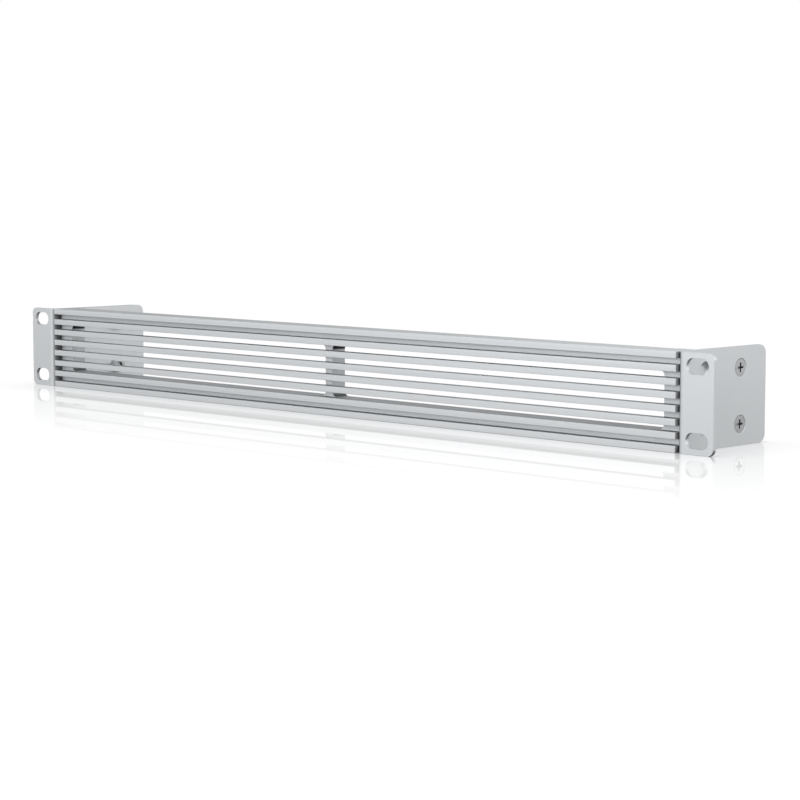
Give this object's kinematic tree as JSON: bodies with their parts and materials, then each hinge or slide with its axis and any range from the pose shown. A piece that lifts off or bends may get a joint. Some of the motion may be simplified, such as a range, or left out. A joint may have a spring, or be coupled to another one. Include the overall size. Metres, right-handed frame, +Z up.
{
  "type": "vented rack blanking panel",
  "caption": "Vented blanking panel for a server rack: an open grille of horizontal bars between two bent sheet-metal rack ears with side flanges.",
  "frame": {"origin": "centre of the four rack slots, on the plane where the backs of the ears meet the rack rails", "axes": "+X along the panel to the right seen from the front, +Y towards the back of the rack, +Z up"},
  "size_m": [0.4826, 0.063, 0.0436],
  "materials": {
    "panel_aluminium": "satin silver, fine blasted and anodised",
    "ear_steel": "satin silver powder coat",
    "bracket_steel": "satin silver powder coat",
    "screw_steel": "zinc plated",
    "nut_steel": "zinc plated, turned"
  },
  "bodies": {
    "root": {"front_panel": "panel_aluminium", "left_ear": "ear_steel", "left_side_bracket": "bracket_steel", "left_upper_ear_screw": "screw_steel", "left_upper_clinch_nut": "nut_steel", "left_upper_panel_screw": "screw_steel", "left_lower_ear_screw": "screw_steel", "left_lower_clinch_nut": "nut_steel", "left_lower_panel_screw": "screw_steel", "right_ear": "ear_steel", "right_side_bracket": "bracket_steel", "right_upper_ear_screw": "screw_steel", "right_upper_clinch_nut": "nut_steel", "right_upper_panel_screw": "screw_steel", "right_lower_ear_screw": "screw_steel", "right_lower_clinch_nut": "nut_steel", "right_lower_panel_screw": "screw_steel"}
  },
  "joints": []
}
